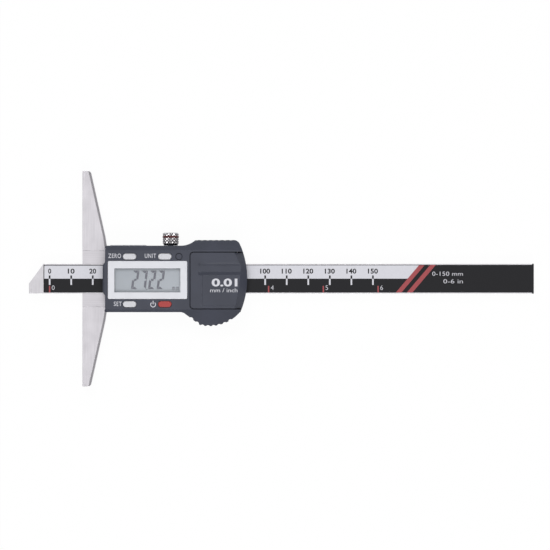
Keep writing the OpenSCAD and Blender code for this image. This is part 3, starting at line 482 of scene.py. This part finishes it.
def print_on_blade():
    """The numerals of both scales and the range marks in the film's inks, and painted shade along
    the film's tip and top edge in its black ink.
    """
    film_lo, film_hi = box("scale_film")
    first = box("red_print")[0].x + MARK_W / 2
    top = film_hi.z
    dark = bmesh.new()
    for mark in range(0, RANGE + 1, MARK_PITCH):
        figures = str(mark)
        write(dark, figures, first + mark, MM_FOOT, NUMERAL_H, top, top + INK,
              NUMERAL_W[len(figures)], MM_BOLD, "CENTER")
    left, head = film_lo.x, film_hi.y
    # Painted shade: a dark line along the film's tip and top edge, standing for the shade of the
    # groove's edge
    slab(dark, [
        (left, 0), (left + EDGE_SHADE, 0), (left + EDGE_SHADE, head - EDGE_SHADE_CORNER),
        (left + EDGE_SHADE_CORNER, head - EDGE_SHADE), (EDGE_SHADE_STEP, head - EDGE_SHADE),
        (EDGE_SHADE_STEP, head - EDGE_SHADE_THIN), (EDGE_SHADE_END, head - EDGE_SHADE_THIN), (EDGE_SHADE_END, head),
        (left, head)], top, top + INK)
    piece("dark_numerals_and_edge_shade", dark, "blade", "black_ink")
    light = bmesh.new()
    low = top + INK
    high = low + LIGHT_INK
    for mark in range(INCHES + 1):
        write(light, str(mark), first + mark * INCH + INCH_ASIDE, INCH_FOOT, NUMERAL_H, low, high,
              bold=INCH_BOLD, anchor="LEFT")
    for words, foot, width in RANGE_MARKS:
        write(light, words, RANGE_END, foot, RANGE_H, low, high, width, RANGE_BOLD)
    piece("light_numerals", light, "blade", "light_film")


PAINT = 0.03
# Words beside the buttons: right end, foot and width
BUTTON_WORDS = (("ZERO", 18.1, 9.6, 5.9), ("UNIT", 34.3, 9.6, 5.2), ("SET", 18.4, -12.6, 3.6))
BUTTON_WORD_H = 1.95
BUTTON_WORD_BOLD = 0.004
BUTTON_WORD_SPREAD = 1.15
# Words on the battery cover: foot, height, width and boldness
COVER_WORDS = (("0.01", -3.42, 3.3, 11.9, 0.032), ("mm / inch", -6.25, 1.8, 12.6, 0))
COVER_WORD_END = 71.96
# How far the battery cover's flat lies below its highest point
COVER_SUNK = 0.15
# The power sign: its middle, its ring's outer and inner radius, degrees from its top to each end
# of the ring, and the half width, foot and head of its bar
SIGN = (32.95, -11.95)
SIGN_RADII = (1.3, 0.95)
SIGN_GAP = 40
SIGN_STEPS = 20
SIGN_BAR = (0.18, 0.1, 1.75)


def power_sign(form, low, high):
    """Adds the sign beside the red button: an open ring with a bar in its gap."""
    x, y = SIGN
    step = (360 - 2 * SIGN_GAP) / SIGN_STEPS
    turns = [radians(SIGN_GAP + step * i) for i in range(SIGN_STEPS + 1)]
    outer, inner = ([(x + r * sin(a), y + r * cos(a)) for a in turns] for r in SIGN_RADII)
    slab(form, outer + inner[::-1], low, high)
    half, foot, head = SIGN_BAR
    plate(form, x - half, y + foot, x + half, y + head, low, high)


def print_on_case():
    """The words and the sign beside the buttons and on the battery cover, pad printed in white."""
    low = box("battery_cover")[1].z
    high = low + PAINT
    form = bmesh.new()
    for words, x, foot, width in BUTTON_WORDS:
        write(form, words, x, foot, BUTTON_WORD_H, low, high, width, BUTTON_WORD_BOLD,
              spread=BUTTON_WORD_SPREAD)
    power_sign(form, low, high)
    piece("case_print", form, "slider", "light_film")
    form = bmesh.new()
    for words, foot, height, width, bold in COVER_WORDS:
        write(form, words, COVER_WORD_END, foot, height, low - COVER_SUNK, high - COVER_SUNK,
              width, bold)
    piece("battery_cover_print", form, "battery_cover", "light_film")


# Display

# The small unit sign: left end, foot, width and height of a stroke, from stroke to stroke and
# from letter to letter
UNIT_LEFT = 41.7
UNIT_FOOT = -5.3
STROKE_W = 0.24
STROKE_H = 1.3
STROKE_PITCH = 0.56
LETTER_PITCH = 1.8


def unit_sign():
    """The small mm beside the reading, in the same boxy strokes."""
    lo, hi = box("display_figures")
    head = UNIT_FOOT + STROKE_H
    form = bmesh.new()
    for letter in range(2):
        x = UNIT_LEFT + LETTER_PITCH * letter
        for stroke in range(3):
            post = x + STROKE_PITCH * stroke
            plate(form, post, UNIT_FOOT, post + STROKE_W, head, lo.z, hi.z)
        end = x + 2 * STROKE_PITCH + STROKE_W
        slab(form, [(x, head), (end, head), (end - STROKE_W / 2, head + STROKE_W),
                    (x + STROKE_W / 2, head + STROKE_W)], lo.z, hi.z)
    piece("unit_sign", form, "slider", "figure_grey")


# Lock screw

SHANK_R = 1.25
SHANK_STEPS = 48
KNOB_H = 5.4
COLLAR_R = 3.3
COLLAR_H = 0.5
KNOB_BEVEL = 0.6
# A point on the way round the knob's bevels: how far in from the knurl, how far along the bevel
# as a share of it, and the share of the knurl's depth there
BEVEL_IN = 0.1
BEVEL_ALONG = 0.7
BEVEL_KNURL = 0.4
RING_DEPTH = 0.4
# Bevel of the knurl on both sides of the ring: how far in and how far along
RING_BEVEL_IN = 0.12
RING_BEVEL_ALONG = 0.06
DIAMONDS = 15
KNURL_STEPS = 10


def spaced(low, high, step):
    """Evenly spread numbers from low to high, no further apart than step."""
    count = int((high - low) / step) + 1
    return [low + (high - low) * i / count for i in range(count + 1)]


def lathe(form, profile, x, z, steps, depth_at=None):
    """Turns a profile of (radius, y) about the line along +Y through x and z. depth_at, where it
    is given, says how far in the point at a step of the turn and a row of the profile moves."""
    rings = []
    for j, (r, y) in enumerate(profile):
        ring = []
        for i in range(steps):
            a = 2 * pi * i / steps
            away = r - (depth_at(i, j) if depth_at else 0)
            ring.append(form.verts.new((x + away * cos(a), y, z + away * sin(a))))
        rings.append(ring)
    for a, b in zip(rings, rings[1:]):
        for i in range(steps):
            j = (i + 1) % steps
            form.faces.new((a[i], a[j], b[j], b[i]))
    form.faces.new(rings[0])
    form.faces.new(rings[-1][::-1])


def knurl_depth(across, along):
    """How deep two crossing families of grooves cut, from 0 to 1. The place is in diamonds."""
    ways = [(across + along) % 1, (across - along) % 1]
    return 1 - 2 * min(min(w, 1 - w) for w in ways)


def lock_screw():
    """The knurled screw: shank, a dark collar that is partly a real collar and partly painted shade
    under the knob, and a diamond knurl above and below its ring.
    """
    lo, hi = box("lock_screw")
    ring_lo, ring_hi = box("lock_screw_ring")
    x, z = (lo.x + hi.x) / 2, (lo.z + hi.z) / 2
    knob_r = (hi.x - lo.x) / 2
    knob_y = hi.y - KNOB_H
    groove_r = knob_r - RING_DEPTH
    form = bmesh.new()
    lathe(form, [(SHANK_R, lo.y), (SHANK_R, knob_y - COLLAR_H), (COLLAR_R, knob_y - COLLAR_H),
                 (COLLAR_R, knob_y)], x, z, SHANK_STEPS)
    collar_faces = len(form.faces)
    pitch = 2 * pi * knob_r / DIAMONDS
    step = pitch / KNURL_STEPS
    # Rows of the profile: radius, y and the share of the knurl's depth
    rows = [(knob_r - KNOB_BEVEL, knob_y, 0),
            (knob_r - BEVEL_IN, knob_y + KNOB_BEVEL * BEVEL_ALONG, BEVEL_KNURL)]
    rows += [(knob_r, y, 1)
             for y in spaced(knob_y + KNOB_BEVEL, ring_lo.y - RING_BEVEL_ALONG, step)]
    rows += [(knob_r - RING_BEVEL_IN, ring_lo.y, 0), (groove_r, ring_lo.y, 0),
             (groove_r, ring_hi.y, 0), (knob_r - RING_BEVEL_IN, ring_hi.y, 0)]
    rows += [(knob_r, y, 1)
             for y in spaced(ring_hi.y + RING_BEVEL_ALONG, hi.y - KNOB_BEVEL, step)]
    rows += [(knob_r - BEVEL_IN, hi.y - KNOB_BEVEL * BEVEL_ALONG, BEVEL_KNURL),
             (knob_r - KNOB_BEVEL, hi.y, 0)]

    def cut(i, j):
        """How far in the knurl moves the point at a step of the turn and a row of the profile."""
        y, share = rows[j][1:]
        return KNURL_DEPTH * share * knurl_depth(i / KNURL_STEPS, (y - knob_y) / pitch)

    around = DIAMONDS * KNURL_STEPS
    lathe(form, [row[:2] for row in rows], x, z, around, cut)
    faces = list(form.faces)
    # The collar takes the dark steel: partly a real dark collar, partly painted shade under the
    # knob
    for face in faces[:collar_faces]:
        face.material_index = 1
    # The outer bevel is a ring of faces, and after it come the two ends
    for face in faces[-around - 2:]:
        face.material_index = 2
    screw = piece("lock_screw_knurled", form, "lock_screw", "knob_steel", ("lock_screw",))
    screw.data.materials.append(finishes["dark_steel"])
    screw.data.materials.append(finishes["screw_steel"])


# Floor and light

# Half the floor's width, and the heights of its underside and its top, just below the part
FLOOR_HALF = 4000
FLOOR_FOOT = -10
FLOOR_TOP = -0.02
# How far up the sky, from 0 to 1, and how bright there
HORIZON = (0.1, 0.15)
ZENITH = (0.85, 0.66)
# Name, place in metres, diameter in metres and power in watts
SOFTBOXES = (
    ("upper_softbox", (-0.4, 1.1, 2.0), 0.9, 16.5),
    ("lower_softbox", (0.3, -1.2, 2.0), 0.9, 17.5),
)
# Share of plain white in what the camera and reflections see of the floor
WHITE_SHARE = 0.96


def rays(tree):
    """1 for rays from the camera, from a reflection or through glass, otherwise 0."""
    path = add(tree, "ShaderNodeLightPath")
    total = path.outputs["Is Camera Ray"]
    for name in ("Is Glossy Ray", "Is Transmission Ray"):
        total = add(tree, "ShaderNodeMath", {0: total, 1: path.outputs[name]},
                    operation="MAXIMUM").outputs[0]
    return total


def make_stage():
    """A pale floor that keeps the shadow, and shows white to the camera and in reflections."""
    form = bmesh.new()
    plate(form, -FLOOR_HALF, -FLOOR_HALF, FLOOR_HALF, FLOOR_HALF, FLOOR_FOOT, FLOOR_TOP)
    floor = placed("floor", form)
    material = bpy.data.materials.new("matt_white_paper")
    tree = emptied(material)
    paper = add(tree, "ShaderNodeBsdfDiffuse", {"Color": linear("F7F7F7")})
    white = add(tree, "ShaderNodeEmission", {"Color": linear("FFFFFF"), "Strength": 1.0})
    share = add(tree, "ShaderNodeMath", {0: rays(tree), 1: WHITE_SHARE}, operation="MULTIPLY")
    mix = add(tree, "ShaderNodeMixShader",
              {0: share.outputs[0], 1: paper.outputs[0], 2: white.outputs[0]})
    add(tree, "ShaderNodeOutputMaterial", {"Surface": mix.outputs[0]})
    floor.data.materials.append(material)


def make_light():
    """A soft dome, dim towards the horizon, and two softboxes that stand well off the vertical,
    so that flat faces don't mirror them."""
    world = bpy.data.worlds.new("studio")
    bpy.context.scene.world = world
    tree = emptied(world)
    way = add(tree, "ShaderNodeTexCoord")
    split = add(tree, "ShaderNodeSeparateXYZ", {"Vector": way.outputs["Generated"]})
    dome = add(tree, "ShaderNodeMapRange",
               {"Value": split.outputs[2], "From Min": HORIZON[0], "From Max": ZENITH[0],
                "To Min": HORIZON[1], "To Max": ZENITH[1]}, interpolation_type="SMOOTHSTEP")
    light = add(tree, "ShaderNodeBackground",
                {"Color": linear("FFFFFF"), "Strength": dome.outputs[0]})
    add(tree, "ShaderNodeOutputWorld", {"Surface": light.outputs[0]})
    for name, place, size, power in SOFTBOXES:
        lamp = bpy.data.lights.new(name, "AREA")
        lamp.shape = "DISK"
        lamp.size = size
        lamp.energy = power
        softbox = bpy.data.objects.new(name, lamp)
        softbox.location = place
        softbox.rotation_euler = (MIDDLE * MM - Vector(place)).to_track_quat("-Z", "Y").to_euler()
        bpy.context.scene.collection.objects.link(softbox)


bpy.context.scene.view_settings.view_transform = "Standard"
make_camera()
make_stage()
make_light()
finishes = make_materials()
for part in frame["record"]["subparts"]:
    mesh = frame["nodes"][part["node"]].data
    mesh.materials.clear()
    mesh.materials.append(finishes[part["material_slot"]])

for row in SOFTENED:
    soften(*row)
print_on_blade()
print_on_case()
unit_sign()
lock_screw()
